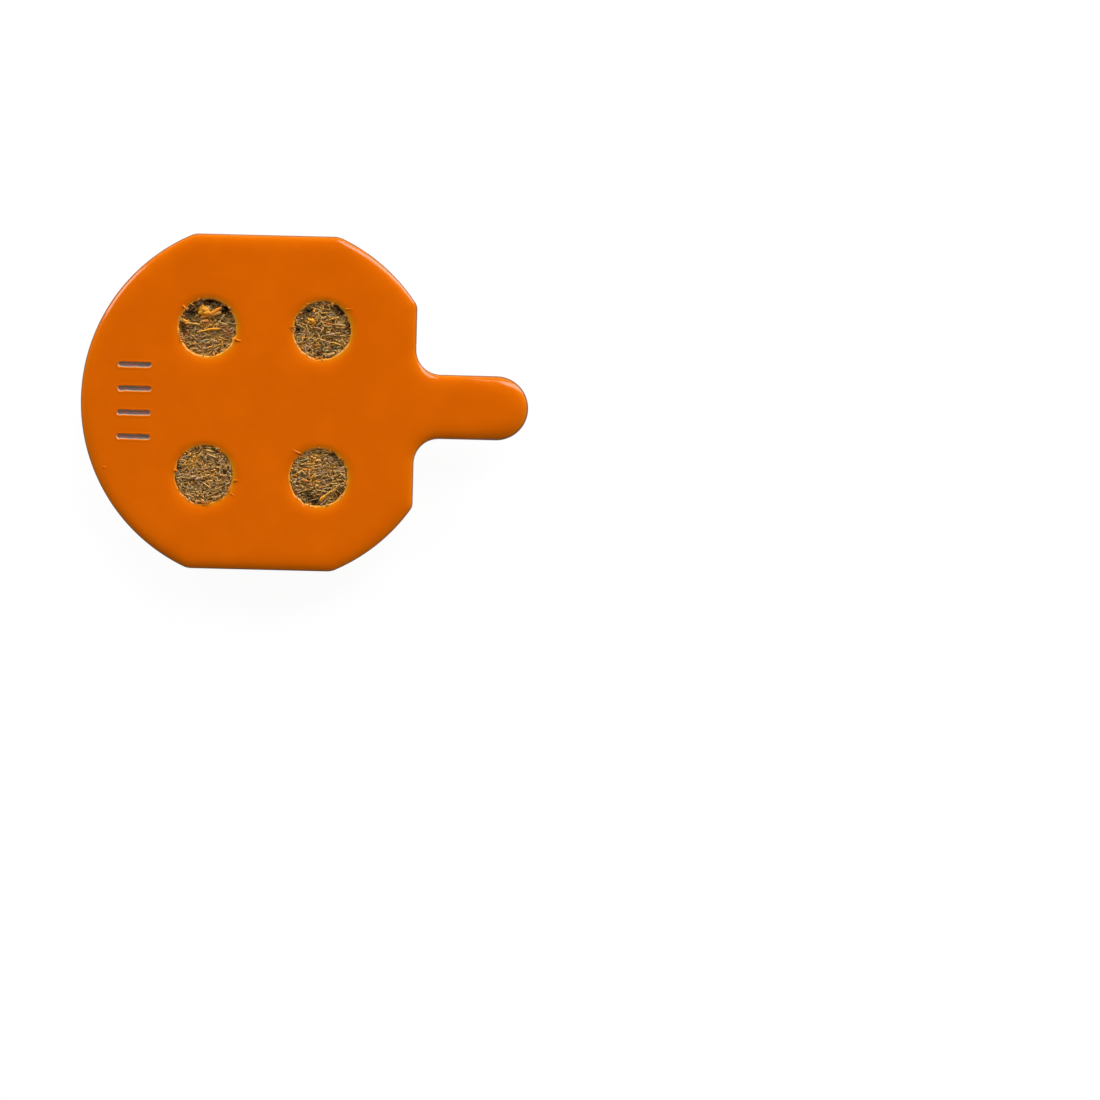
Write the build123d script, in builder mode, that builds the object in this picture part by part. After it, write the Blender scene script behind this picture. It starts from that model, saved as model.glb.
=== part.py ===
"""Bicycle disc brake pad: a blanked steel backing plate with a block of friction compound moulded to it.

The pad lies on its friction face. The origin is on the piston axis, in the plane of that face.
+X runs along the tab, and +Z runs through the pad, from the friction face to the plate's back.
All sizes are in millimetres.
"""

import os

from build123d import *

# Body of the backing plate: a round blank with a flat on both sides and one where the tab starts
body_diameter = 27.0
side_flat_depth = 1.1
tab_flat_depth = 2.25
side_corner_radius = 1.6
tab_corner_radius = 0.9
plate_thickness = 2.0

# Tab that locates the pad in the caliper
tab_length = 8.4
tab_width = 4.75
tab_root_radius = 1.85

# Holes that anchor the compound to the plate
anchor_hole_diameter = 4.3
anchor_pitch_x = 8.5
anchor_pitch_y = 10.9

# Edges: the outline that the punch rolls over on the plate's back, and the edge breaks
edge_roll_radius = 0.55
hole_edge_break = 0.25
front_edge_break = 0.15

# Friction compound: the block in front of the plate and its plugs in the anchor holes
friction_thickness = 2.0
friction_inset = 1.0
friction_draft_angle = 3.0
friction_edge_radius = 0.25
plug_recess = 0.4

# Places that follow from the sizes
body_radius = body_diameter / 2
tab_flat_x = body_radius - tab_flat_depth
side_flat_y = body_radius - side_flat_depth
plate_front = Plane.XY.offset(friction_thickness)


def draw_body(inset):
    """Outline of the round body with its three flats and no tab, `inset` inside the plate's edge."""
    with BuildSketch() as body:
        Circle(body_radius - inset)
        with Locations((tab_flat_x - inset, 0)):
            Rectangle(
                2 * body_diameter,
                2 * (side_flat_y - inset),
                align=(Align.MAX, Align.CENTER),
                mode=Mode.INTERSECT,
            )
        *side_corners, tab_corners = body.vertices().group_by(Axis.X)
        fillet(tab_corners, tab_corner_radius)
        fillet([corner for pair in side_corners for corner in pair], side_corner_radius)
    return body.sketch


plate_body = draw_body(inset=0)
block_body = draw_body(inset=friction_inset)

with BuildSketch(plate_front) as anchor_circles:
    with GridLocations(anchor_pitch_x, anchor_pitch_y, 2, 2):
        Circle(anchor_hole_diameter / 2)

# Backing plate, blanked from sheet steel together with its tab and its anchor holes
with BuildPart() as backing_plate:
    with BuildSketch(plate_front) as plate_outline:
        add(plate_body)
        with Locations((tab_flat_x, 0)):
            Rectangle(tab_length - tab_width / 2, tab_width, align=(Align.MIN, Align.CENTER))
        with Locations((tab_flat_x + tab_length - tab_width / 2, 0)):
            Circle(tab_width / 2)
        tab_roots = plate_outline.vertices().sort_by_distance((tab_flat_x, 0))[:2]
        fillet(tab_roots, tab_root_radius)
    extrude(amount=plate_thickness)
    front_face, *_, back_face = backing_plate.faces().sort_by(Axis.Z)
    fillet(back_face.edges(), edge_roll_radius)
    chamfer(front_face.edges(), front_edge_break)
    add(anchor_circles.sketch)
    extrude(amount=plate_thickness, mode=Mode.SUBTRACT)
    hole_rims = backing_plate.faces().sort_by(Axis.Z)[-1].inner_wires()
    chamfer([edge for rim in hole_rims for edge in rim.edges()], hole_edge_break)
backing_plate.part.label = "backing_plate"

# Friction compound, pressed hot against the plate, so that it flows into the anchor holes
with BuildPart() as friction_block:
    with BuildSketch(plate_front):
        add(block_body)
    extrude(amount=-friction_thickness, taper=friction_draft_angle)
    fillet(friction_block.faces().sort_by(Axis.Z)[0].edges(), friction_edge_radius)
    add(anchor_circles.sketch)
    extrude(amount=plate_thickness - plug_recess)
friction_block.part.label = "friction_block"

os.makedirs("parts", exist_ok=True)
for piece in (backing_plate, friction_block):
    export_step(piece.part, f"parts/{piece.part.label}.step")
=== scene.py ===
"""Bicycle disc brake pad, seen from straight above: an enamelled steel plate and its friction compound.

The file follows the pad as it is made: the plate is blanked and stamped, the compound is moulded to it and
through its anchor holes, and the enamel goes on last. The table, the lamps and the camera come at the end.
"""

import bmesh
import bpy
import numpy as np
from mathutils import Euler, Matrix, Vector
from mathutils.geometry import delaunay_2d_cdt


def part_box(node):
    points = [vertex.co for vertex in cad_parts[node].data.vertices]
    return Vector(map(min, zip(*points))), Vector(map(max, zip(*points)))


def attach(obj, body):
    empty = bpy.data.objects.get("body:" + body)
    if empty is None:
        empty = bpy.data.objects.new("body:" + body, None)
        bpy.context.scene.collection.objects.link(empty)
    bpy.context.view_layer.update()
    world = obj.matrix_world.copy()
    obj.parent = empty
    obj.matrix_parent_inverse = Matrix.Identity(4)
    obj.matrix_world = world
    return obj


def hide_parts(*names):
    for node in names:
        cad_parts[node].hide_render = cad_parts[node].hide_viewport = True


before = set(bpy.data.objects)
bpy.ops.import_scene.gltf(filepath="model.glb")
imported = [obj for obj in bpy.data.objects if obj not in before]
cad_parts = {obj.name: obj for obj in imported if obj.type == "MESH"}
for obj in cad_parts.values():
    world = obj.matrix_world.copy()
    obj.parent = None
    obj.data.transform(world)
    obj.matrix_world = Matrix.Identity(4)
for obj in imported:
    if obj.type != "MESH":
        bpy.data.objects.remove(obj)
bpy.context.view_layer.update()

# Backing plate: one blank of 2 mm sheet steel, punched out together with its tab and its four anchor holes.
# The punch rolls the edges over on the back, where it enters, and leaves them crisp on the front.
# Four plain strokes are stamped into the back, and orange enamel covers the whole blank.
mm = 0.001
tiny = 1e-9
plate_low, plate_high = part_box("backing_plate")

# Outline and heights
body_radius = -plate_low.x
side_flat_y = plate_high.y
tab_tip_x = plate_high.x
tab_flat_x = 11.25 * mm
tab_half_width = 2.375 * mm
tab_root_radius = 1.85 * mm
tab_corner_radius = 0.9 * mm
side_corner_radius = 1.6 * mm
corner_growth = 0.5
outline_points = {
    "tab_tip": 24, "tab_side": 12, "tab_root": 18, "tab_flat": 10, "tab_corner": 10,
    "near_arc": 26, "side_corner": 12, "side_flat": 24, "far_arc": 48,
}
enamel_relief = 0.03 * mm
plate_back = plate_high.z - enamel_relief
plate_front = plate_low.z

# Rolled edge on the back, which grows towards the tab's tip, and the wall below it
edge_roll_reach = 0.44 * mm
edge_roll_depth = 0.242 * mm
edge_turn_reach = 0.10 * mm
edge_turn_depth = 0.09 * mm
edge_roll_fall = 3.4
edge_lip_radius = 0.05 * mm
edge_lip_rows = 6
edge_roll_rows = 20
edge_roll_crowding = 1.7
wall_rows = 7
tab_roll_growth = 1.45
tab_roll_start = 14.5 * mm
tab_roll_end = 18.0 * mm

# Enamel marks that paint light and shade: darker at the edge's lip (painted shade), yellower towards the
# edges and rims (painted light, stronger on one side of each rim), and paler in patches on the rims (painted
# highlight)
lip_shade_reach = (0.055 * mm, 0.105 * mm)
lip_shade_drop = 0.06 * mm
light_tint_edge_share = 0.45
light_tint_edge_reach = 0.22 * mm
light_tint_wall_drop = 0.3 * mm
light_tint_rim_reach = 0.3 * mm
light_tint_rim_share = 0.55
light_tint_rim_lean = 0.4
light_tint_rim_bearing = np.radians(-15)
rim_reach = (0.04 * mm, 0.17 * mm)
rim_depth = 0.5 * mm

# Crisp edge on the front, and the narrow level row that keeps each flat face shaded flat
front_edge_break = 0.15 * mm
front_break_rows = 5
flat_guard = 0.06 * mm
fill_inside_loops = 1
fill_tolerance = 1e-7
weld_distance = 1e-8

# Anchor holes
hole_radius = 2.10 * mm
hole_centres = np.array([(-4.25, 5.45), (4.25, 5.45), (-4.25, -5.45), (4.25, -5.45)]) * mm
hole_dip_width = 0.85 * mm
hole_dip_lean = 0.4
hole_dip_depth = 0.075 * mm
hole_dip_rows = 14
hole_lip_radius = 0.2 * mm
hole_lip_rows = 9
hole_points = 120
hole_raggedness = 0.01 * mm
hole_raggedness_reach = 0.25 * mm
hole_waves = np.arange(3, 26)
hole_wave_fall = 0.25

# Stamped strokes, which have a fine grid of their own
stroke_length = 2.5 * mm
stroke_half_width = 0.2 * mm
stroke_depth = 0.075 * mm
stroke_edge = 1.06
stroke_slope = 0.46
stroke_lip = 0.012 * mm
stroke_lip_place = 1.4
stroke_lip_width = 0.3
stroke_wobble = 0.13
stroke_wobble_cell = 0.22 * mm
stroke_seed = 41
stroke_x = -9.54 * mm
stroke_ys = np.array([2.56, 0.78, -1.00, -2.78]) * mm
stamp_margin = 0.55 * mm
stamp_cell = 0.035 * mm


def colour(red, green, blue):
    """Screen colour, each part from 0 to 255, as linear light: ((c + 0.055) / 1.055) to the power 2.4."""
    screen = np.array([red, green, blue]) / 255
    linear = np.where(screen <= 0.04045, screen / 12.92, ((screen + 0.055) / 1.055) ** 2.4)
    return (*linear.tolist(), 1)


enamel_colour = colour(211, 96, 2)
enamel_deep_colour = colour(206, 92, 1)
# Painted light: a yellower, lighter enamel that stands in for brightly lit enamel near edges and rims
enamel_light_tint_colour = colour(203, 127, 8)
# Painted shade: dark enamel colour along the edge's outermost lip, where the wall falls into shade
enamel_lip_shade_colour = colour(122, 66, 6)
# Painted highlight: pale colour on the holes' rim lips, in patches
rim_highlight_colour = colour(196, 146, 40)
bright_steel_colour = colour(178, 156, 112)
dull_steel_colour = colour(178, 118, 112)
grey_steel_colour = colour(140, 124, 116)
cloud_size = 2.6 * mm
rim_patch_size = 0.25 * mm
rim_patch_range = (0.45, 0.85)
rust_size = 0.5 * mm
rust_range = (0.42, 0.58)
noise_middle = (0.35, 0.65)
groove_side = (0.05, 0.25)
groove_floor = (0.6, 0.95)
steel_metallic = 0.5
enamel_roughness = 0.11
matt_roughness = 0.5
peel_size = 1.1 * mm
peel_depth = 0.04 * mm
peel_strength = 0.05


def arc(centre_x, centre_y, radius, start, end, count):
    """Points on a circle, evenly turned from the angle `start` to `end` in degrees, without the last one."""
    turn = np.radians(np.linspace(start, end, count, endpoint=False))
    return np.stack([centre_x + radius * np.cos(turn), centre_y + radius * np.sin(turn)], axis=-1)


def straight(start, end, count):
    """Evenly spaced points from `start` to `end`, without the last one."""
    share = np.linspace(0, 1, count, endpoint=False)[:, None]
    return (1 - share) * np.array(start) + share * np.array(end)


def body_half(inset):
    """Upper half of the round body's outline, `inset` inside its edge, from the tab flat to the far side.

    It is a circle cut by the tab flat and a side flat. Each corner is an arc that touches the circle from
    inside: its centre lies one corner radius inside the flat and one corner radius inside the circle. The
    tab flat's x, and the y at which its corner starts, come with the outline.
    """
    circle = body_radius - inset
    flat_x = tab_flat_x - inset
    flat_y = side_flat_y - inset
    tab_corner = tab_corner_radius + corner_growth * inset
    side_corner = side_corner_radius + corner_growth * inset
    tab_y = np.sqrt((circle - tab_corner) ** 2 - (flat_x - tab_corner) ** 2)
    side_x = np.sqrt((circle - side_corner) ** 2 - (flat_y - side_corner) ** 2)
    tab_angle = np.degrees(np.arctan2(tab_y, flat_x - tab_corner))
    side_angle = np.degrees(np.arctan2(flat_y - side_corner, side_x))
    return flat_x, tab_y, np.concatenate([
        arc(flat_x - tab_corner, tab_y, tab_corner, 0, tab_angle, outline_points["tab_corner"]),
        arc(0, 0, circle, tab_angle, side_angle, outline_points["near_arc"]),
        arc(side_x, flat_y - side_corner, side_corner, side_angle, 90, outline_points["side_corner"]),
        straight((side_x, flat_y), (-side_x, flat_y), outline_points["side_flat"]),
        arc(-side_x, flat_y - side_corner, side_corner, 90, 180 - side_angle, outline_points["side_corner"]),
        arc(0, 0, circle, 180 - side_angle, 180, outline_points["far_arc"]),
    ])


def close_half(half, last):
    """Whole outline: its upper half, the point on the axis, and the half mirrored and run back."""
    return np.concatenate([half, [last], half[:0:-1] * (1, -1)])


def plate_outline(inset):
    """Outline of the plate with its tab, `inset` inside its edge, from the tab's tip round anticlockwise.

    The tab is a half circle and two straight sides. Its root arcs have their centres outside the plate, so
    they grow by the inset where every other arc shrinks.
    """
    tip = tab_half_width - inset
    tip_x = tab_tip_x - tab_half_width
    root = tab_root_radius + inset
    root_x = tab_flat_x + tab_root_radius
    root_y = tab_half_width + tab_root_radius
    flat_x, corner_y, body = body_half(inset)
    half = np.concatenate([
        arc(tip_x, 0, tip, 0, 90, outline_points["tab_tip"]),
        straight((tip_x, tip), (root_x, tip), outline_points["tab_side"]),
        arc(root_x, root_y, root, 270, 180, outline_points["tab_root"]),
        straight((flat_x, root_y), (flat_x, corner_y), outline_points["tab_flat"]),
        body,
    ])
    return close_half(half, (inset - body_radius, 0))


def roll_growth(x):
    """How much larger the rolled edge is at that x: it grows smoothly towards the tab's tip."""
    share = np.clip((x - tab_roll_start) / (tab_roll_end - tab_roll_start), 0, 1)
    return 1 + (tab_roll_growth - 1) * share * share * (3 - 2 * share)


def rolled_outline(inset):
    """Outline of one row of the rolled edge, whose inset grows with the roll towards the tab's tip."""
    share = (roll_growth(plate_outline(0)[:, :1]) - 1) / (tab_roll_growth - 1)
    return (1 - share) * plate_outline(inset) + share * plate_outline(tab_roll_growth * inset)


def quarter_round(radius, count):
    """Quarter circle from flat to upright: how far inside the edge and below the face each row lies."""
    turn = np.linspace(0, np.pi / 2, count)
    return radius * (1 - np.sin(turn)), radius * (1 - np.cos(turn))


def rolled_edge():
    """Section of the edge that the punch rolled over: insets and drops of its rows, from the flat outwards.

    The face falls away as two exponentials of minus the inset, a long one less the straight line that makes
    it start level, and a short one that turns it down, and ends in a tight quarter circle. The rows crowd
    together towards the edge, where the face bends most.
    """
    lip_in, lip_down = quarter_round(edge_lip_radius, edge_lip_rows)
    width = edge_roll_fall * edge_roll_reach
    crowded = np.linspace(1, 0, edge_roll_rows)[:-1] ** edge_roll_crowding
    slope_in = edge_lip_radius + (width - edge_lip_radius) * crowded
    inset = np.concatenate([slope_in, lip_in])
    long_fall = inset / edge_roll_reach
    level_line = np.exp(-edge_roll_fall) * (1 + edge_roll_fall - long_fall)
    drop = edge_roll_depth * (np.exp(-long_fall) - level_line)
    drop += edge_turn_depth * (np.exp(-inset / edge_turn_reach) - np.exp(-width / edge_turn_reach))
    drop[len(slope_in):] += lip_down
    return inset, drop


def raised(loops, heights):
    """Rows of flat points as points in space: one height for each row, or one for each point."""
    loops = np.asarray(loops)
    level = np.asarray(heights).reshape(len(loops), -1, 1)
    return np.concatenate([loops, np.broadcast_to(level, loops.shape[:2] + (1,))], axis=2)


def grid_faces(rows, columns, closed=True):
    """Four-cornered faces of a grid of points; a closed grid joins its last column to its first."""
    index = np.arange(rows * columns).reshape(rows, columns)
    if closed:
        index = np.concatenate([index, index[:, :1]], axis=1)
    corners = [index[:-1, :-1], index[:-1, 1:], index[1:, 1:], index[1:, :-1]]
    return np.stack(corners, axis=-1).reshape(-1, 4)


def flat_fill(loops, height):
    """Triangles of a level face between its outer loop, the first, and the ones cut out of it.

    Delaunay triangles of all the points with the loops as fixed edges. A triangle with all its corners on
    one of the cut-outs lies inside it, because no cut-out bends inwards, and is dropped.
    """
    points = np.concatenate(loops)
    counts = [len(loop) for loop in loops]
    owner = np.repeat(np.arange(len(loops)), counts)
    starts = np.cumsum([0] + counts[:-1])
    edges = [start + np.stack([np.arange(count), np.roll(np.arange(count), -1)], axis=-1)
             for start, count in zip(starts, counts)]
    made = delaunay_2d_cdt(
        (points / mm).tolist(), np.concatenate(edges).tolist(), [], fill_inside_loops, fill_tolerance)
    source = np.array([ids[0] for ids in made[3]])
    triangles = source[np.array(made[2])]
    sides = owner[triangles]
    cut_out = (sides[:, 0] > 0) & (sides == sides[:, :1]).all(axis=1)
    return raised([points], [height])[0], triangles[~cut_out]


def welded_mesh(name, surfaces):
    """Mesh of several surfaces, each given as points and faces, joined where their points meet."""
    starts = np.cumsum([0] + [len(points) for points, _ in surfaces[:-1]])
    points = np.concatenate([points for points, _ in surfaces])
    faces = [face for start, (_, part) in zip(starts, surfaces) for face in (part + start).tolist()]
    mesh = bpy.data.meshes.new(name)
    mesh.from_pydata(points.tolist(), [], faces)
    shape = bmesh.new()
    shape.from_mesh(mesh)
    bmesh.ops.remove_doubles(shape, verts=shape.verts, dist=weld_distance)
    bmesh.ops.dissolve_degenerate(shape, dist=weld_distance, edges=shape.edges)
    bmesh.ops.recalc_face_normals(shape, faces=shape.faces)
    shape.to_mesh(mesh)
    shape.free()
    mesh.polygons.foreach_set("use_smooth", np.ones(len(mesh.polygons), bool))
    return mesh


def add_piece(name, mesh, material, slot, *nodes):
    """A finished piece of the pad: it lies at the origin, rides on the one body and may stand for solids."""
    piece = bpy.data.objects.new(name, mesh)
    bpy.context.scene.collection.objects.link(piece)
    mesh.materials.append(material)
    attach(piece, "root")
    if nodes:
        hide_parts(*nodes)
    return piece


def hole_rim(centre, seed):
    """Rolled rim and wall of one anchor hole: a profile carried round the hole's axis.

    From outside inwards the face dips on a cubic, wider and deeper on the -Y side, turns over a lip and
    drops down the wall. A few waves round the rim, fading outwards, make it as ragged as a painted edge is,
    and the foot of the wall stays round.
    """
    turn = np.linspace(0, 2 * np.pi, hole_points, endpoint=False)
    ring = np.ones_like(turn)
    lean = 1 - hole_dip_lean * np.sin(turn)
    share = np.linspace(0, 1, hole_dip_rows)[:, None]
    lip_in, lip_down = quarter_round(hole_lip_radius, hole_lip_rows)
    dip_out = hole_lip_radius + hole_dip_width * (1 - share) * lean
    dip_drop = hole_dip_depth * share ** 3 * lean
    lip_drop = dip_drop[-1] + lip_down[1:, None]
    wall = np.linspace(plate_back - lip_drop[-1], plate_front * ring, wall_rows)[1:]
    outwards = np.concatenate([dip_out[:1] + flat_guard, dip_out, lip_in[1:, None] * ring, 0 * wall])
    height = np.concatenate([[plate_back * ring], plate_back - dip_drop, plate_back - lip_drop, wall])
    draws = np.random.default_rng(seed)
    swing = draws.normal(size=(2, len(hole_waves))) / hole_waves ** hole_wave_fall
    phase = hole_waves[:, None] * turn
    ragged = swing[0] @ np.cos(phase) + swing[1] @ np.sin(phase)
    fade = np.exp(-(outwards / hole_raggedness_reach) ** 2)
    fade[-1] = 0
    reach = hole_radius + outwards + hole_raggedness * fade * ragged
    bearing = np.stack([np.cos(turn), np.sin(turn)], axis=-1)
    return raised(centre + reach[:, :, None] * bearing, height)


def rough(points, cell, seed):
    """Value noise from -1 to 1: random numbers on a cubic lattice of that cell, eased between its corners.

    The lattice holds 32 numbers each way and then repeats.
    """
    side = 32
    lattice = np.random.default_rng(seed).uniform(-1, 1, (side, side, side))
    place = np.asarray(points) / cell
    low = np.floor(place).astype(int)
    share = place - low
    share = share * share * (3 - 2 * share)
    total = np.zeros(place.shape[:-1])
    for corner in np.ndindex(2, 2, 2):
        weight = np.prod(np.where(corner, share, 1 - share), axis=-1)
        total += weight * lattice[tuple(np.moveaxis((low + corner) % side, -1, 0))]
    return total


def stroke_groove(x, y):
    """How far down the groove of a stroke each point lies, from 0 to 1 on its floor, and the lip round it.

    The distance to the nearest stroke, a segment with rounded ends, counts in half widths and is made a
    little uneven by noise. It gives a flat floor with sloping sides, and a low lip that the stamp pushed up.
    """
    along = np.maximum(np.abs(x - stroke_x) - (stroke_length / 2 - stroke_half_width), 0)
    across = np.abs(y[..., None] - stroke_ys).min(axis=-1)
    gap = np.hypot(along, across) / stroke_half_width
    gap += stroke_wobble * rough(np.stack([x, y, 0 * x], axis=-1), stroke_wobble_cell, stroke_seed)
    groove = np.clip((stroke_edge - gap) / stroke_slope, 0, 1)
    lip = np.exp(-((gap - stroke_lip_place) / stroke_lip_width) ** 2)
    return groove * groove * (3 - 2 * groove), lip


roll_in, roll_down = rolled_edge()
break_in, break_down = quarter_round(front_edge_break, front_break_rows)
roll_heights = plate_back - roll_down[:, None] * roll_growth(plate_outline(0)[:, 0])
wall_heights = np.linspace(roll_heights[-1], plate_front + front_edge_break, wall_rows)[1:-1]
edge_rows = np.concatenate([
    raised([rolled_outline(roll_in[0] + flat_guard)], [plate_back]),
    raised([rolled_outline(inset) for inset in roll_in], roll_heights),
    raised([plate_outline(0)] * len(wall_heights), wall_heights),
    raised([plate_outline(inset) for inset in break_in[::-1]], plate_front + break_down[::-1]),
    raised([plate_outline(front_edge_break + flat_guard)], [plate_front]),
])
rims = [hole_rim(centre, seed) for seed, centre in enumerate(hole_centres)]

stamp_low = np.array([stroke_x - stroke_length / 2, stroke_ys.min()]) - stamp_margin
stamp_high = np.array([stroke_x + stroke_length / 2, stroke_ys.max()]) + stamp_margin
stamp_counts = np.ceil((stamp_high - stamp_low) / stamp_cell).astype(int)
stamp_x, stamp_y = np.meshgrid(*[np.linspace(*ends) for ends in zip(stamp_low, stamp_high, stamp_counts)])
stamp_groove, stamp_lip = stroke_groove(stamp_x, stamp_y)
stamp_z = plate_back - stroke_depth * stamp_groove + stroke_lip * stamp_lip
stamp = np.stack([stamp_x, stamp_y, stamp_z], axis=-1)
stamp_edge = np.concatenate([stamp[0, :-1], stamp[:-1, -1], stamp[-1, :0:-1], stamp[:0:-1, 0]])[:, :2]

plate_mesh = welded_mesh("backing_plate", [
    (edge_rows.reshape(-1, 3), grid_faces(*edge_rows.shape[:2])),
    *[(rim.reshape(-1, 3), grid_faces(*rim.shape[:2])) for rim in rims],
    (stamp.reshape(-1, 3), grid_faces(*stamp.shape[:2], closed=False)),
    flat_fill([edge_rows[0, :, :2], *[rim[0, :, :2] for rim in rims], stamp_edge], plate_back),
    flat_fill([edge_rows[-1, :, :2], *[rim[-1, :, :2] for rim in rims]], plate_front),
])


def mesh_points(mesh):
    """All points of a mesh, one in each row."""
    points = np.zeros(3 * len(mesh.vertices))
    mesh.vertices.foreach_get("co", points)
    return points.reshape(-1, 3)


def point_values(mesh, name, values):
    """One number for each point of a mesh, which its material reads by that name."""
    mesh.attributes.new(name, "FLOAT", "POINT").data.foreach_set("value", values.astype(np.float32))


# Where the enamel colour paints light and shade: darker at the lip (painted shade), yellower towards the
# edges and the holes' rims (painted light), and paler in patches on the rims (painted highlight)
plate_points = mesh_points(plate_mesh)
near_back = plate_points[:, 2] > plate_back - rim_depth
stamped, _ = stroke_groove(plate_points[:, 0], plate_points[:, 1])
spokes = plate_points[:, None, :2] - hole_centres
nearest = np.linalg.norm(spokes, axis=-1).argmin(axis=1)
spoke_x, spoke_y = spokes[np.arange(len(spokes)), nearest].T
from_hole = np.hypot(spoke_x, spoke_y) - hole_radius
lip_shade_drops = np.interp(lip_shade_reach, roll_in[::-1], roll_down[::-1])
sunk = (plate_back - plate_points[:, 2]) / roll_growth(plate_points[:, 0])
lip_shade_ends = (*lip_shade_drops[::-1], roll_down[-1], roll_down[-1] + lip_shade_drop)
# Painted shade mask: 1 on the edge's outer lip, fading to 0 above and below it
lip = np.interp(sunk, lip_shade_ends, (0, 1, 1, 0))
by_hole = from_hole < hole_radius
inset = np.interp(sunk, roll_down, roll_in)
# Painted light: yellower tint fading inwards from the edge, and round each rim, stronger on one side
light_tint_edge = light_tint_edge_share * np.exp(-inset / light_tint_edge_reach)
light_tint_edge *= np.interp(sunk, (roll_down[-1], roll_down[-1] + light_tint_wall_drop), (1, 0)) * (stamped == 0)
light_tint_rim = light_tint_rim_share + light_tint_rim_lean * np.cos(np.arctan2(spoke_y, spoke_x) - light_tint_rim_bearing)
light_tint_rim *= np.exp(-(from_hole / light_tint_rim_reach) ** 2) * near_back
point_values(plate_mesh, "groove", np.where(near_back, stamped, 0))
point_values(plate_mesh, "edge_lip_shade", np.where(by_hole, 0, lip))
point_values(plate_mesh, "painted_light_tint", np.where(by_hole, light_tint_rim, light_tint_edge))
# Mask of the holes' rim lips, for the painted highlight and the matt roughness
point_values(plate_mesh, "hole_lip", np.where(near_back, np.interp(from_hole, rim_reach, (1, 0)), 0))


def new_material(name):
    """Empty node material; returns it with its node tree and its principled shader."""
    material = bpy.data.materials.new(name)
    material.use_nodes = True
    return material, material.node_tree, material.node_tree.nodes["Principled BSDF"]


def add_node(tree, kind, links=(), sockets=(), **settings):
    """A node of that kind with its settings, its (socket, source) links and its (socket, value) inputs."""
    node = tree.nodes.new(kind)
    for key, value in settings.items():
        setattr(node, key, value)
    for socket, source in links:
        tree.links.new(source, node.inputs[socket])
    for socket, value in sockets:
        node.inputs[socket].default_value = value
    return node


def noise(tree, place, size, detail):
    """Noise from 0 to 1 with lumps of about that size, in metres."""
    sockets = [("Scale", 1 / size), ("Detail", detail)]
    return add_node(tree, "ShaderNodeTexNoise", [("Vector", place)], sockets).outputs["Fac"]


def spread(tree, value, low, high, to_low=0.0, to_high=1.0):
    """The value stretched from one range to another and held at its ends."""
    sockets = [("From Min", low), ("From Max", high), ("To Min", to_low), ("To Max", to_high)]
    return add_node(tree, "ShaderNodeMapRange", [("Value", value)], sockets).outputs["Result"]


def combine(tree, operation, first, second):
    """Product, or larger or smaller one, of two values, as the name of the operation says."""
    return add_node(tree, "ShaderNodeMath", [(0, first), (1, second)], operation=operation).outputs[0]


def read_value(tree, name):
    """The numbers that the mesh holds for its points by that name."""
    return add_node(tree, "ShaderNodeAttribute", attribute_name=name).outputs["Fac"]


def blend(tree, factor, first, second):
    """Colour between two colours or two sources of colour."""
    node = add_node(tree, "ShaderNodeMix", [("Factor", factor)], data_type="RGBA")
    for socket, part in ((node.inputs[6], first), (node.inputs[7], second)):
        if isinstance(part, tuple):
            socket.default_value = part
        else:
            tree.links.new(part, socket)
    return node.outputs[2]


enamel, tree, shader = new_material("orange_enamel")
place = add_node(tree, "ShaderNodeTexCoord").outputs["Object"]
clouds = spread(tree, noise(tree, place, cloud_size, 3), *noise_middle)
groove, painted_light_tint, edge_lip_shade, hole_lip = [
    read_value(tree, name) for name in ("groove", "painted_light_tint", "edge_lip_shade", "hole_lip")]
rim_highlight_patches = spread(tree, noise(tree, place, rim_patch_size, 2), *noise_middle, *rim_patch_range)
rim_highlight = combine(tree, "MULTIPLY", hole_lip, rim_highlight_patches)
cut = spread(tree, groove, *groove_side)
film = blend(tree, clouds, enamel_deep_colour, enamel_colour)
# Painted light: yellower tint towards edges and rims
film = blend(tree, painted_light_tint, film, enamel_light_tint_colour)
# Painted shade: dark colour at the edge's lip
film = blend(tree, edge_lip_shade, film, enamel_lip_shade_colour)
# Painted highlight: patchy pale colour on the holes' rim lips
film = blend(tree, rim_highlight, film, rim_highlight_colour)
rust = spread(tree, noise(tree, place, rust_size, 2), *rust_range)
steel = blend(tree, rust, grey_steel_colour, dull_steel_colour)
steel = blend(tree, spread(tree, groove, *groove_floor), bright_steel_colour, steel)
tree.links.new(blend(tree, cut, film, steel), shader.inputs["Base Color"])
tree.links.new(spread(tree, groove, *groove_side, 0, steel_metallic), shader.inputs["Metallic"])
matt = combine(tree, "MAXIMUM", combine(tree, "MAXIMUM", cut, hole_lip), edge_lip_shade)
tree.links.new(spread(tree, matt, 0, 1, enamel_roughness, matt_roughness), shader.inputs["Roughness"])
peel = noise(tree, place, peel_size, 1)
bump = add_node(tree, "ShaderNodeBump", [("Height", peel)],
                [("Strength", peel_strength), ("Distance", peel_depth)])
tree.links.new(bump.outputs["Normal"], shader.inputs["Normal"])

add_piece("enamelled_plate", plate_mesh, enamel, "plate_paint", "backing_plate")

# Friction block: brown resin compound with chopped fibres and mineral grains, pressed hot against the plate.
# It stands behind the plate, a little inside its edge, with drafted sides and a ground face.
# Four plugs of it have flowed into the anchor holes, where their broken tops stay below the plate's back.
block_low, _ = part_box("friction_block")

# Block, with pits in its sides
block_inset = block_low.x + body_radius
block_draft = np.radians(3)
block_edge_radius = 0.25 * mm
block_edge_rows = 6
block_side_rows = 10
block_face_rows = 24
block_flat_points = 24
block_roughness = 0.05 * mm
pit_layers = ((0.5 * mm, 1.0), (0.2 * mm, 0.6))
pit_floor = 0.2
pit_start = (0.1 * mm, 0.3 * mm)
pit_seed = 11

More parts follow.
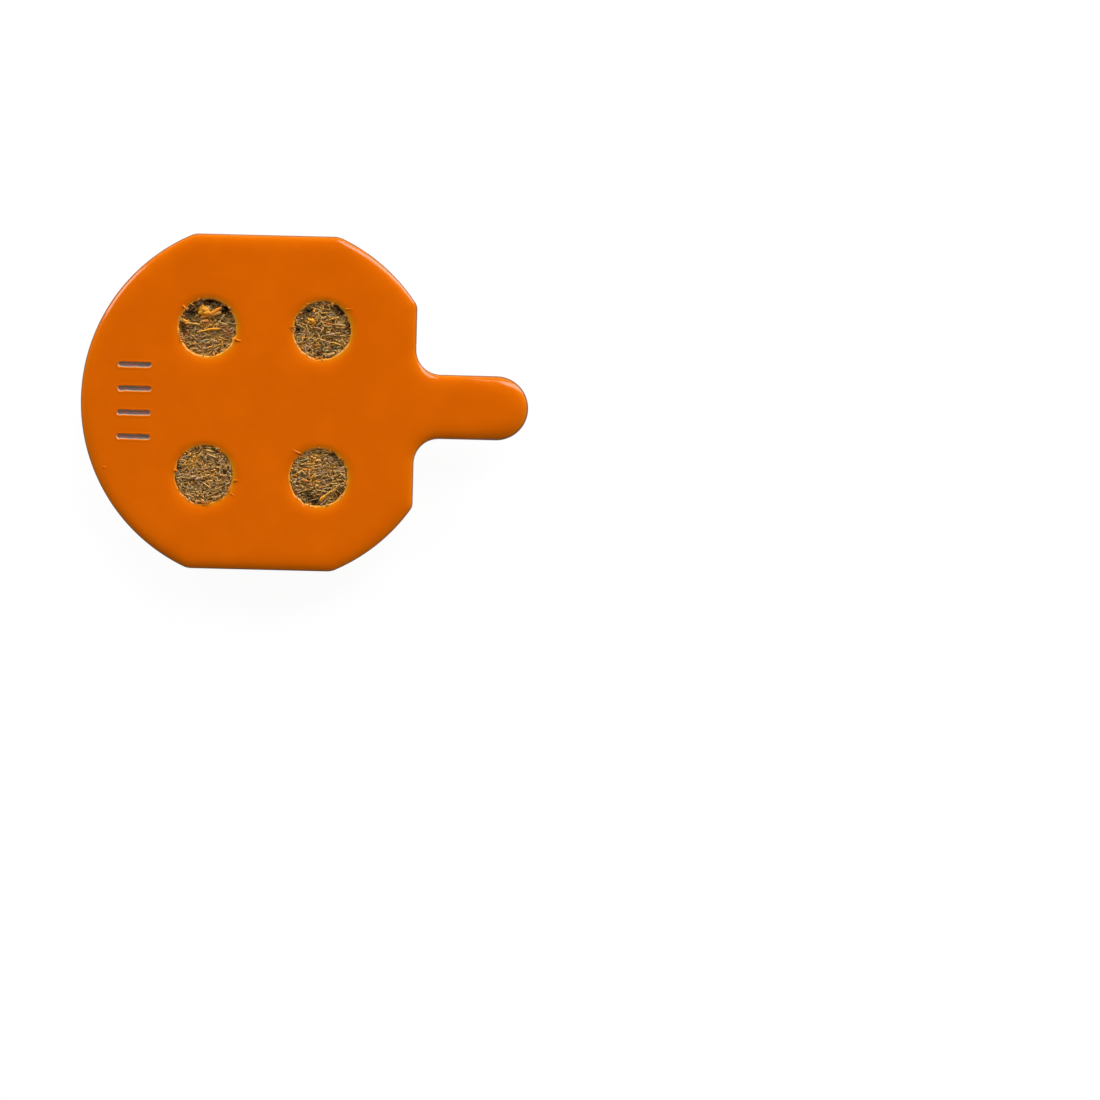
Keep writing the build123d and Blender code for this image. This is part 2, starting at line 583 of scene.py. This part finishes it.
# Plugs, with lumps on their tops
plug_radius = 2.16 * mm
plug_depths = np.array([0.38, 0.27, 0.17, 0.22]) * mm
plug_root = 0.1 * mm
plug_points = 108
plug_top_rows = 40
plug_top_crowding = 0.8
plug_wall_rows = 4
plug_roughness = 0.055 * mm
plug_sink = 0.9
plug_seeds = (20, 25, 30, 35)
lump_layers = ((0.42 * mm, 1.0), (0.2 * mm, 0.7), (0.1 * mm, 0.4))
# Painted shade: depth over which the plugs' hollows darken
hollow_shade_depth = 0.16 * mm

# Compound, and the flecks in it: size, stretch, turn, share and colour
resin_dark = colour(132, 96, 42)
resin_brown = colour(154, 114, 54)
resin_tan = colour(162, 121, 60)
fibre_straw = colour(190, 152, 86)
mineral_grey = colour(150, 134, 104)
# Dark specks in the compound, and the painted shade in the plugs' hollows
soot_and_shade_black = colour(62, 42, 14)
grain_size = 0.16 * mm
patch_size = 0.7 * mm
patch_range = (0.38, 0.62)
pore_size = 0.2 * mm
pore_depth = 0.05 * mm
pore_strength = 0.5
compound_roughness = 0.85
compound_shine = 0.2
drift_size = 0.3 * mm
fleck_warp = 0.12 * mm
fleck_edge = (0.5, 0.35)
fleck_step = 0.01
flecks = [
    (0.30 * mm, 1.0, 0, 0.06, soot_and_shade_black),
    (0.24 * mm, 1.0, 0, 0.09, mineral_grey),
    *[(0.17 * mm, 4.5, turn, 0.055, fibre_straw) for turn in (8, 39, 74, 112, 151)],
]

# Hollows in each plug's top: place from its middle, width and depth, in millimetres
plug_hollows = [
    [(-1.30, 1.02, 0.45, 0.22), (1.33, 1.41, 0.50, 0.22), (0.14, 2.00, 0.40, 0.18),
     (-1.86, -0.13, 0.30, 0.15)],
    [(-1.20, 1.27, 0.35, 0.16), (1.36, 1.55, 0.50, 0.18), (2.00, 0.18, 0.35, 0.15),
     (-1.86, 0.00, 0.30, 0.15), (-0.17, -1.86, 0.35, 0.12)],
    [(0.90, 1.85, 0.25, 0.15), (-1.90, 0.45, 0.25, 0.15), (1.50, 0.20, 0.25, 0.12)],
    [(-0.19, -1.90, 0.35, 0.28), (-0.79, -1.45, 0.40, 0.16), (1.62, -1.31, 0.40, 0.20),
     (1.48, 1.54, 0.40, 0.15)],
]


def block_outline(inset):
    """Outline of the round body without the tab, `inset` inside the plate's edge."""
    flat_x, corner_y, body = body_half(inset)
    half = np.concatenate([straight((flat_x, 0), (flat_x, corner_y), block_flat_points), body])
    return close_half(half, (inset - body_radius, 0))


def layered(points, layers, seed):
    """Sum of several value noises, each with its own cell and share; their seeds count up from the first."""
    return sum(share * rough(points, cell, seed + step) for step, (cell, share) in enumerate(layers))


def friction_body():
    """The block: its section carried round the outline, with both faces drawn in to the middle.

    From the middle of the friction face a row of shrunken outlines runs out to the rounded edge, up the
    drafted side and back in under the plate. Noise pits the side inwards only, and not where the plate lies.
    """
    edge_in, edge_up = quarter_round(block_edge_radius, block_edge_rows)
    side_height = np.linspace(block_edge_radius, plate_front, block_side_rows)[1:]
    heights = np.concatenate([edge_up, side_height])
    insets = block_inset + (plate_front - heights) * np.tan(block_draft)
    insets[:len(edge_in)] += edge_in
    rings = raised([block_outline(inset) for inset in insets], heights)
    inward = np.linspace(0, 1, block_face_rows, endpoint=False)[:, None, None]
    drawn_in = np.concatenate([inward, inward, np.ones_like(inward)], axis=2)
    surface = np.concatenate([rings[0] * drawn_in, rings, rings[-1] * drawn_in[::-1]])
    pits = np.maximum(layered(surface, pit_layers, pit_seed), -pit_floor) + pit_floor
    side = np.interp(surface[..., 2], pit_start, (0, 1))
    side[-block_face_rows - 1:] = 0
    away = surface[..., :2] / np.maximum(np.linalg.norm(surface[..., :2], axis=-1, keepdims=True), tiny)
    surface[..., :2] -= (block_roughness * pits * side)[..., None] * away
    return surface


def plug_level(number, x, y):
    """Height of one plug's top at points given from its middle: a level face less its round hollows.

    Each hollow is as deep as the last of its four values, and fades as the exponential of minus the square
    of the distance over its width, the third one.
    """
    level = np.full(np.shape(x), plate_back - plug_depths[number])
    for hollow_x, hollow_y, width, depth in np.array(plug_hollows[number]) * mm:
        level -= depth * np.exp(-((x - hollow_x) ** 2 + (y - hollow_y) ** 2) / width ** 2)
    return level


def painted_hollow_light(number, x, y):
    """Share of its colour that painted shade leaves in a plug's hollows: the exponential of minus their
    depth.
    """
    return np.exp((plug_level(number, x, y) - plate_back + plug_depths[number]) / hollow_shade_depth)


def plug(number, seed):
    """One plug: a broken, lumpy top drawn in to its middle, and a plain wall down into the block."""
    turn = np.linspace(0, 2 * np.pi, plug_points, endpoint=False)
    ring = np.stack([np.cos(turn), np.sin(turn)], axis=-1)
    top_reach = plug_radius * np.linspace(0, 1, plug_top_rows) ** plug_top_crowding
    reach = np.concatenate([top_reach, np.full(plug_wall_rows, plug_radius)])
    spots = top_reach[:, None, None] * ring
    top = plug_level(number, spots[..., 0], spots[..., 1])
    root = np.full(plug_points, plate_front - plug_root)
    height = np.concatenate([top, np.linspace(top[-1], root, plug_wall_rows + 1)[1:]])
    surface = raised(hole_centres[number] + reach[:, None, None] * ring, height)
    lumps = layered(surface[:plug_top_rows], lump_layers, seed)
    surface[:plug_top_rows, :, 2] += plug_roughness * (lumps - plug_sink)
    return surface


block_surface = friction_body()
plugs = [plug(number, seed) for number, seed in enumerate(plug_seeds)]
block_mesh = welded_mesh("friction_block", [
    (surface.reshape(-1, 3), grid_faces(*surface.shape[:2])) for surface in [block_surface, *plugs]
])
# Painted shade: how far the compound in each plug's hollows is darkened towards black
block_points = mesh_points(block_mesh)
hollow_shade_amount = np.zeros(len(block_points))
for number, (centre_x, centre_y) in enumerate(hole_centres):
    x, y = block_points[:, 0] - centre_x, block_points[:, 1] - centre_y
    hollow_shade_amount += (1 - painted_hollow_light(number, x, y)) * (np.hypot(x, y) < plug_radius + flat_guard)
point_values(block_mesh, "hollow_shade", np.where(block_points[:, 2] > plate_front, hollow_shade_amount, 0))


def scattered(tree, place, size, stretch, turn, share):
    """Mask of chips or fibres: that share of a Voronoi pattern's cells, each a blot round its seed.

    The pattern is turned about Z by `turn` degrees and is `stretch` times as long as it is wide.
    """
    sockets = [("Rotation", (0, 0, np.radians(turn))), ("Scale", (size * stretch, size, size))]
    laid = add_node(tree, "ShaderNodeMapping", [("Vector", place)], sockets, vector_type="TEXTURE")
    cells = add_node(tree, "ShaderNodeTexVoronoi", [("Vector", laid.outputs["Vector"])], [("Scale", 1)])
    draw = add_node(tree, "ShaderNodeSeparateColor", [("Color", cells.outputs["Color"])]).outputs["Red"]
    picked = spread(tree, draw, 1 - share, 1 - share + fleck_step)
    inside = spread(tree, cells.outputs["Distance"], *fleck_edge)
    return combine(tree, "MULTIPLY", picked, inside)


compound, tree, shader = new_material("friction_compound")
place = add_node(tree, "ShaderNodeTexCoord").outputs["Object"]
grain = spread(tree, noise(tree, place, grain_size, 3), *noise_middle)
patches = spread(tree, noise(tree, place, patch_size, 3), *patch_range)
ground = blend(tree, patches, resin_dark, resin_brown)
ground = blend(tree, grain, ground, resin_tan)
drift = add_node(tree, "ShaderNodeTexNoise", [("Vector", place)], [("Scale", 1 / drift_size), ("Detail", 2)])
warped = add_node(tree, "ShaderNodeVectorMath", [(0, drift.outputs["Color"]), (2, place)],
                  [(1, (fleck_warp,) * 3)], operation="MULTIPLY_ADD").outputs["Vector"]
for size, stretch, turn, share, fleck_colour in flecks:
    ground = blend(tree, scattered(tree, warped, size, stretch, turn, share), ground, fleck_colour)
# Painted shade: the plugs' hollows darken towards black
ground = blend(tree, read_value(tree, "hollow_shade"), ground, soot_and_shade_black)
tree.links.new(ground, shader.inputs["Base Color"])
pores = noise(tree, place, pore_size, 3)
bump = add_node(tree, "ShaderNodeBump", [("Height", pores)],
                [("Strength", pore_strength), ("Distance", pore_depth)])
tree.links.new(bump.outputs["Normal"], shader.inputs["Normal"])
shader.inputs["Roughness"].default_value = compound_roughness
shader.inputs["Specular IOR Level"].default_value = compound_shine
add_piece("resin_compound", block_mesh, compound, "friction_compound", "friction_block")

# Fibres, flakes and grains: chopped fibre, chips of mineral and grit, which fill the resin all through.
# They show where the plugs' tops broke off rough, tangled and lying mostly flat in the anchor holes.
# Each is a strand: a fibre is long and thin, a flake wide and flat, and a grain as short as it is thick.

# Numbers and shapes
fibres_per_hole = 500
grains_per_hole = 160
stubs_per_hole = 40
strand_rings = 5
strand_sides = 4
strand_limit = hole_radius - 0.02 * mm
strand_heights = (-0.08 * mm, 0.05 * mm)
flake_heights = (0.09 * mm, 0.14 * mm)
flake_bend = 0.3
fibre_length = 0.5 * mm
fibre_length_spread = 0.45
fibre_lengths = (0.2 * mm, 1.5 * mm)
fibre_widths = (0.06 * mm, 0.125 * mm)
fibre_heading = 0.15
fibre_heading_spread = 0.75
grain_lengths = (0.12 * mm, 0.3 * mm)
grain_widths = (0.10 * mm, 0.22 * mm)
stub_places = (-0.12 * mm, 0.1 * mm)
stub_lengths = (0.14 * mm, 0.34 * mm)
stub_depths = (0.08 * mm, 0.2 * mm)
bend_spread = 0.9
least_bend = 0.05
strand_flatness = (0.5, 0.85)
strand_thickest = 0.1 * mm
tilt_spread = 0.06 * mm
arch_range = (-0.02 * mm, 0.06 * mm)
unevenness = 0.3
fibre_unevenness = 0.5
tangle_seed = 70

# Colours, and how often each of them is drawn
stain_raggedness = (0.5, 1.2)
shade_spread = 0.08
dust_size = 0.12 * mm
dust_range = (0.45, 0.75)
dust_share = 0.55
strand_roughness = 0.6
strand_colours = {
    "tan": colour(181, 140, 80),
    "straw": colour(184, 145, 86),
    "grey": colour(158, 138, 96),
    "brown": colour(150, 109, 48),
    "dark": colour(108, 74, 24),
    "gold": colour(212, 140, 32),
    "amber": colour(190, 136, 58),
    "orange": colour(214, 125, 34),
    "red": colour(154, 90, 48),
    "mauve": colour(161, 125, 96),
    "painted": colour(200, 112, 36),
}
colour_shares = [0.30, 0.13, 0.18, 0.12, 0.04, 0.01, 0.03, 0.01, 0.03, 0.15, 0]
painted_stubs = 0.5

# Flakes in each hole: place from its middle, length and width in millimetres, heading in degrees, and colour
flakes = [
    [(-0.44, 1.40, 0.60, 0.42, 60, "gold"), (-0.18, 1.28, 0.80, 0.46, -15, "gold"),
     (-0.44, 1.14, 0.60, 0.40, 30, "gold"), (0.04, 1.46, 0.50, 0.20, -35, "straw"),
     (-0.06, 1.06, 0.60, 0.34, 10, "gold"), (0.62, 1.02, 0.90, 0.22, 20, "amber"),
     (0.29, 1.05, 2.00, 0.22, 29, "orange"),
     (0.10, -0.16, 2.00, 0.15, 11, "gold"), (-1.68, 0.42, 0.60, 0.30, -10, "gold"),
     (-1.45, 0.28, 0.50, 0.20, 10, "amber"), (-0.93, 0.24, 0.80, 0.14, -5, "amber"),
     (-0.10, 0.42, 0.50, 0.22, 10, "red"), (1.15, 0.32, 0.90, 0.10, -15, "straw")],
    [(-0.88, 0.72, 0.50, 0.28, -20, "gold"), (-0.72, 0.60, 0.45, 0.26, 35, "gold"),
     (-0.95, 0.55, 0.40, 0.20, 5, "amber"), (0.80, 0.87, 1.00, 0.13, 17, "amber"),
     (1.30, 0.43, 1.05, 0.13, -5, "straw"), (1.35, 0.22, 0.85, 0.10, 2, "amber"),
     (-1.60, 0.25, 0.80, 0.09, -25, "straw"), (0.72, -0.30, 0.55, 0.20, 15, "mauve"),
     (0.50, -0.54, 0.80, 0.15, 5, "dark"), (0.32, -0.81, 1.10, 0.10, -15, "straw"),
     (1.05, -0.96, 0.80, 0.12, -15, "amber"), (0.69, -1.78, 0.70, 0.16, 15, "straw")],
    [(0.40, 1.75, 0.65, 0.16, -12, "straw"), (0.59, 1.38, 1.00, 0.12, -20, "straw"),
     (-0.75, -0.20, 0.50, 0.22, 15, "mauve"), (-0.45, -0.32, 0.45, 0.20, 30, "mauve"),
     (1.46, -0.08, 0.45, 0.22, -15, "red"), (1.13, -0.42, 0.65, 0.10, -10, "amber"),
     (0.92, -1.65, 0.90, 0.10, 5, "straw"), (0.02, -1.95, 0.60, 0.09, -40, "straw")],
    [(-0.97, -0.26, 0.55, 0.10, -10, "orange"), (-1.11, 0.34, 0.60, 0.09, -45, "straw"),
     (0.22, -0.75, 0.40, 0.14, 30, "red"), (0.24, -1.00, 0.90, 0.12, -10, "straw"),
     (1.41, -0.64, 0.70, 0.09, 50, "straw"), (-0.31, -1.66, 0.85, 0.10, 20, "mauve"),
     (1.10, -0.98, 0.60, 0.26, 40, "brown"), (0.74, -1.19, 0.85, 0.18, 37, "amber"),
     (0.40, -1.46, 0.55, 0.20, 42, "gold"), (0.24, -1.60, 0.40, 0.24, 70, "gold")],
]

# Stains in each hole: place from its middle and reach in millimetres, and colour
stains = [
    [(-0.20, 1.20, 0.45, "gold"), (-1.66, 0.34, 0.30, "gold"), (0.95, -1.25, 0.30, "amber"),
     (0.05, 0.30, 0.60, "amber"), (1.45, -0.30, 0.30, "red")],
    [(-0.82, 0.62, 0.36, "gold"), (-0.20, -1.10, 0.40, "amber")],
    [(-0.67, 0.92, 0.70, "amber"), (0.48, 0.00, 0.40, "amber")],
    [(-0.50, 1.24, 0.45, "amber"), (-0.38, -0.15, 0.42, "amber"), (1.10, -1.10, 0.40, "amber")],
]


def strands(centre, limit, x, y, z, length, width, thickness, heading, bend, tilt, arch, jitter):
    """Many strands round one centre, each from one value of every list: points of its rings and its ends.

    The middle line of a strand turns steadily from `heading` minus half of `bend` to plus half of it, climbs
    by `tilt` and bows up by `arch`, and is held inside the radius `limit`. An ellipse as wide and thick as
    the strand is carried along it, a little uneven from ring to ring, and shrinks to a point at both ends.
    """
    count = len(x)
    along = np.sin(np.linspace(-np.pi / 2, np.pi / 2, strand_rings + 2))[1:-1] * 0.5
    turned = heading[:, None] + bend[:, None] * along
    scale = (length / bend)[:, None]
    line_x = x[:, None] + scale * (np.sin(turned) - np.sin(heading)[:, None])
    line_y = y[:, None] + scale * (np.cos(heading)[:, None] - np.cos(turned))
    hold = np.minimum(1, (limit - width / 2)[:, None] / np.maximum(np.hypot(line_x, line_y), tiny))
    line_x = line_x * hold
    line_y = line_y * hold
    line_z = z[:, None] + tilt[:, None] * along + arch[:, None] * (1 - 4 * along ** 2)
    around = np.linspace(0, 2 * np.pi, strand_sides, endpoint=False)
    taper = np.sqrt(1 - (2 * along) ** 4) * (1 + jitter)
    side = (width[:, None] / 2 * taper)[..., None] * np.cos(around)
    lift = (thickness[:, None] / 2 * taper)[..., None] * np.sin(around)
    rings = np.stack([
        centre[0] + line_x[..., None] - np.sin(turned)[..., None] * side,
        centre[1] + line_y[..., None] + np.cos(turned)[..., None] * side,
        line_z[..., None] + lift,
    ], axis=-1).reshape(count, -1, 3)
    line = np.stack([centre[0] + line_x, centre[1] + line_y, line_z], axis=-1)
    return np.concatenate([rings, line[:, [0, -1]]], axis=1)


def strand_faces(count):
    """Faces of that many strands: a grid between the rings of each, and a fan of triangles at both ends."""
    per_strand = strand_rings * strand_sides + 2
    starts = per_strand * np.arange(count)[:, None, None]
    first = np.arange(strand_sides)
    last = first + (strand_rings - 1) * strand_sides
    head = np.stack([np.roll(first, -1), first, np.full(strand_sides, per_strand - 2)], axis=-1)
    tail = np.stack([last, np.roll(last, -1), np.full(strand_sides, per_strand - 1)], axis=-1)
    quads = (starts + grid_faces(strand_rings, strand_sides)).reshape(-1, 4).tolist()
    return quads + (starts + np.concatenate([head, tail])).reshape(-1, 3).tolist()


def mesh_of_strands(name, points):
    """Smooth mesh of many strands from the points of each."""
    mesh = bpy.data.meshes.new(name)
    mesh.from_pydata(points.reshape(-1, 3).tolist(), [], strand_faces(len(points)))
    mesh.polygons.foreach_set("use_smooth", np.ones(len(mesh.polygons), bool))
    return mesh


def hole_strands(number, seed):
    """Points and colours of all strands in one hole: fibres, grains, listed flakes, and stubs at its rim.

    Fibres and grains lie anywhere on the plug, and most of those on a stain take its colour. Those in the
    plug's hollows are darkened as painted shade. The stubs are fibre ends that the enamel has glued to the
    rim.
    """
    draws = np.random.default_rng(seed)
    chosen = flakes[number]
    counts = [fibres_per_hole, grains_per_hole, len(chosen), stubs_per_hole]
    kind = np.repeat(["fibre", "grain", "flake", "stub"], counts)
    fibre, grain, flake, stub = [kind == name for name in ("fibre", "grain", "flake", "stub")]
    count = len(kind)
    radius = np.where(stub, hole_radius + draws.uniform(*stub_places, count),
                      plug_radius * np.sqrt(draws.uniform(0, 1, count)))
    bearing = draws.uniform(0, 2 * np.pi, count)
    x = radius * np.cos(bearing)
    y = radius * np.sin(bearing)
    length = np.clip(draws.lognormal(np.log(fibre_length), fibre_length_spread, count), *fibre_lengths)
    length = np.where(grain, draws.uniform(*grain_lengths, count), length)
    length = np.where(stub, draws.uniform(*stub_lengths, count), length)
    width = np.where(grain, draws.uniform(*grain_widths, count), draws.uniform(*fibre_widths, count))
    heading = np.where(fibre, draws.normal(fibre_heading, fibre_heading_spread, count),
                       draws.uniform(0, np.pi, count))
    names = list(strand_colours)
    tint = draws.choice(len(names), count, p=colour_shares)
    for stain_x, stain_y, reach, name in stains[number]:
        edge = reach * draws.uniform(*stain_raggedness, count)
        stained = np.hypot(x / mm - stain_x, y / mm - stain_y) < edge
        tint = np.where(stained, names.index(name), tint)
    tint = np.where(stub & (draws.uniform(size=count) < painted_stubs), names.index("painted"), tint)
    # Strands in the plugs' hollows are darkened: painted shade
    shade = draws.lognormal(0, shade_spread, count) * np.where(stub, 1, painted_hollow_light(number, x, y))
    bend = draws.normal(0, bend_spread, count)
    x[flake], y[flake], length[flake], width[flake] = np.array([row[:4] for row in chosen]).T * mm
    heading[flake] = np.radians([row[4] for row in chosen])
    tint[flake] = [names.index(row[5]) for row in chosen]
    shade[flake] = 1
    bend = np.where(np.abs(bend) < least_bend, least_bend, bend) * np.where(flake, flake_bend, 1)
    lift = draws.uniform(*strand_heights, count)
    lift[flake] = np.linspace(*flake_heights, len(chosen))
    z = plug_level(number, x, y) + lift
    z = np.where(stub, plate_back - draws.uniform(*stub_depths, count), z)
    thickness = np.minimum(width * draws.uniform(*strand_flatness, count), strand_thickest)
    tilt = draws.normal(0, tilt_spread, count)
    arch = draws.uniform(*arch_range, count)
    jitter = draws.uniform(-unevenness, unevenness, (count, strand_rings))
    jitter *= np.where(fibre, fibre_unevenness, 1)[:, None]
    limit = np.where(stub, 2 * hole_radius, strand_limit)
    points = strands(
        hole_centres[number], limit, x, y, z, length, width, thickness, heading, bend, tilt, arch, jitter)
    points[..., 2] = np.minimum(points[..., 2], plate_back)
    tone = np.array([strand_colours[name] for name in names])[tint] * shade[:, None]
    tone = np.repeat(tone[:, None], points.shape[1], axis=1)
    tone[..., 3] = 1
    return points, tone


tangles = [hole_strands(number, tangle_seed + number) for number in range(len(hole_centres))]
strand_points = np.concatenate([points for points, _ in tangles])
strand_tones = np.concatenate([tones for _, tones in tangles])
strand_mesh = mesh_of_strands("fibres_and_grains", strand_points)
tone_data = strand_mesh.attributes.new("tone", "FLOAT_COLOR", "POINT").data
tone_data.foreach_set("color", strand_tones.astype(np.float32).ravel())

tangle, tree, shader = new_material("fibres_and_grains")
place = add_node(tree, "ShaderNodeTexCoord").outputs["Object"]
tone = add_node(tree, "ShaderNodeAttribute", attribute_name="tone").outputs["Color"]
dust = spread(tree, noise(tree, place, dust_size, 2), *dust_range, 0, dust_share)
tree.links.new(blend(tree, dust, tone, resin_brown), shader.inputs["Base Color"])
shader.inputs["Roughness"].default_value = strand_roughness
shader.inputs["Specular IOR Level"].default_value = compound_shine
add_piece("fibres_and_grains", strand_mesh, tangle, "friction_compound")

# Whiskers and nibs: stray fibres and specks of dust that the wet enamel caught on the plate's back.
# The whiskers reach out from the anchor holes' rims; the nibs are small round bumps. Enamel covers both.
# Each whisker has its middle, its length and width in millimetres, and its heading and bend in degrees.
whiskers = np.array([
    (-5.95, 6.88, 0.55, 0.15, -42, 10),
    (-1.98, 4.55, 0.62, 0.18, -15, 14),
    (2.08, 5.63, 0.50, 0.11, 10, -20),
    (6.22, 7.06, 0.75, 0.12, 8, 12),
    (-6.34, -5.19, 0.32, 0.18, 15, 8),
    (-1.90, -5.83, 0.50, 0.10, 3, -10),
    (-2.08, -6.87, 0.40, 0.10, -35, 12),
    (2.55, -3.58, 0.85, 0.18, -26, 16),
    (-4.07, -7.60, 0.95, 0.10, 0, 174),
])
nibs = np.array([(-3.05, 10.99), (-6.36, 9.95), (9.23, 6.48), (-11.63, -5.09), (1.20, -2.30), (6.90, -8.85)])
nib_size = 0.22
whisker_thickness = 0.09 * mm
whisker_height = plate_back - 0.024 * mm
nib_height = plate_back - 0.034 * mm
whisker_light_tint = 0.4
whisker_least_bend = 3
whisker_unevenness = 0.15
whisker_seed = 5

nib_rows = np.column_stack([nibs, np.full((len(nibs), 2), nib_size), np.zeros((len(nibs), 2))])
rows = np.concatenate([whiskers, nib_rows])
draws = np.random.default_rng(whisker_seed)
count = len(rows)
whisker_points = strands(
    centre=(0, 0),
    limit=np.full(count, body_radius),
    x=rows[:, 0] * mm,
    y=rows[:, 1] * mm,
    z=np.repeat([whisker_height, nib_height], [len(whiskers), len(nibs)]),
    length=rows[:, 2] * mm,
    width=rows[:, 3] * mm,
    thickness=np.full(count, whisker_thickness),
    heading=np.radians(rows[:, 4]),
    bend=np.radians(rows[:, 5] + whisker_least_bend),
    tilt=np.zeros(count),
    arch=np.zeros(count),
    jitter=draws.uniform(-whisker_unevenness, whisker_unevenness, (count, strand_rings)),
)
whisker_mesh = mesh_of_strands("whiskers_and_nibs", whisker_points)
# Painted light: the whiskers take part of the yellower tint
whisker_light_tints = np.repeat([whisker_light_tint, 0.0], [len(whiskers), len(nibs)])
point_values(whisker_mesh, "painted_light_tint", np.repeat(whisker_light_tints, whisker_points.shape[1]))
add_piece("whiskers_and_nibs", whisker_mesh, enamel, "plate_paint")

# Floor, lamps and camera: a white table, seven soft lamps in a dim room and a long lens straight above.
# Four lamps lie low and only shade the pad; the other three draw the pale lines on its edges and rims.
# The table takes the pad's shadow, and shows white to the camera and in reflections.
floor_size = 4.0
floor_gap = 0.02 * mm
floor_colour = (0.08, 0.08, 0.08, 1)
floor_roughness = 0.9
floor_glow = 0.945
lamp_distance = 1.2
sky_stops = ((0.0, 0.2), (0.12, 0.15), (0.25, 0.05), (0.9, 0.008))
sky_turn = 0.6
sky_strengths = (0.6, 1.0)
photo_pixels = 1100
pad_pixel = np.array([263.0, 402.45])
pixels_per_metre = 13503
pad_turn = np.radians(1.417)
lens = 200
sensor = 36
clip_start = 0.01

floor_corners = floor_size / 2 * np.array([(-1, -1), (1, -1), (1, 1), (-1, 1)])
floor_mesh = bpy.data.meshes.new("floor")
floor_mesh.from_pydata(raised([floor_corners], [-floor_gap])[0].tolist(), [], [(0, 1, 2, 3)])
floor = bpy.data.objects.new("floor", floor_mesh)
bpy.context.scene.collection.objects.link(floor)
table_top, tree, shader = new_material("white_table")
shader.inputs["Base Color"].default_value = floor_colour
shader.inputs["Roughness"].default_value = floor_roughness
shader.inputs["Emission Color"].default_value = (1, 1, 1, 1)
ray = add_node(tree, "ShaderNodeLightPath").outputs
seen = combine(tree, "MAXIMUM", ray["Is Camera Ray"], ray["Is Glossy Ray"])
seen = combine(tree, "MAXIMUM", seen, ray["Is Transmission Ray"])
tree.links.new(spread(tree, seen, 0, 1, 0, floor_glow), shader.inputs["Emission Strength"])
floor_mesh.materials.append(table_top)


def lamp(name, azimuth, elevation, roll, width, height, brightness, mirrored=True):
    """Soft rectangular lamp at that bearing and height angle, in degrees, turned towards the pad.

    Its power is pi times its area times its brightness, where a brightness of 1 is white.
    """
    data = bpy.data.lights.new(name, "AREA")
    data.shape = "RECTANGLE"
    data.size = width
    data.size_y = height
    data.energy = np.pi * width * height * brightness
    lit = bpy.data.objects.new(name, data)
    bpy.context.scene.collection.objects.link(lit)
    bearing, rise = np.radians([azimuth, elevation])
    lit.location = lamp_distance * np.array(
        [np.cos(bearing) * np.cos(rise), np.sin(bearing) * np.cos(rise), np.sin(rise)])
    facing = Euler((np.pi / 2 - rise, 0, bearing + np.pi / 2)).to_matrix()
    lit.rotation_euler = (facing @ Euler((0, 0, np.radians(roll))).to_matrix()).to_euler()
    lit.visible_camera = False
    lit.visible_glossy = mirrored


lamp("far_lamp", azimuth=93, elevation=17, roll=0, width=3.0, height=0.40, brightness=10.65, mirrored=False)
lamp("near_lamp", azimuth=-100, elevation=14, roll=0, width=2.0, height=0.40, brightness=1.5, mirrored=False)
lamp("right_fill", azimuth=-8, elevation=12, roll=0, width=0.80, height=0.40, brightness=7.3, mirrored=False)
lamp("left_fill", azimuth=184, elevation=12, roll=0, width=0.80, height=0.40, brightness=2.3, mirrored=False)
lamp("right_lamp", azimuth=52, elevation=35.5, roll=57, width=1.25, height=0.36, brightness=6.0)
lamp("window", azimuth=25, elevation=8, roll=0, width=0.50, height=0.20, brightness=3.6)
lamp("left_lamp", azimuth=143.5, elevation=34, roll=0, width=0.31, height=0.56, brightness=5.8)

world = bpy.data.worlds.new("room")
bpy.context.scene.world = world
world.use_nodes = True
tree = world.node_tree
heading = add_node(tree, "ShaderNodeTexCoord").outputs["Generated"]
split = add_node(tree, "ShaderNodeSeparateXYZ", [("Vector", heading)]).outputs
sky = add_node(tree, "ShaderNodeValToRGB", [("Fac", split["Z"])])
for stop, (position, level) in zip(sky.color_ramp.elements, (sky_stops[0], sky_stops[-1])):
    stop.position = position
    stop.color = (level, level, level, 1)
for position, level in sky_stops[1:-1]:
    sky.color_ramp.elements.new(position).color = (level, level, level, 1)
tree.links.new(sky.outputs["Color"], tree.nodes["Background"].inputs["Color"])
strength = spread(tree, split["Y"], -sky_turn, sky_turn, *sky_strengths)
tree.links.new(strength, tree.nodes["Background"].inputs["Strength"])

camera_data = bpy.data.cameras.new("camera")
camera_data.lens = lens
camera_data.sensor_width = sensor
camera = bpy.data.objects.new("camera", camera_data)
bpy.context.scene.collection.objects.link(camera)
right, down = (photo_pixels / 2 - pad_pixel) / pixels_per_metre
outline_z = plate_back - roll_down[-1]
camera.location = (
    right * np.cos(pad_turn) + down * np.sin(pad_turn),
    right * np.sin(pad_turn) - down * np.cos(pad_turn),
    outline_z + lens / sensor * photo_pixels / pixels_per_metre,
)
camera.rotation_euler = (0, 0, pad_turn)
camera_data.clip_start = clip_start
bpy.context.scene.camera = camera
bpy.context.scene.view_settings.view_transform = "Standard"
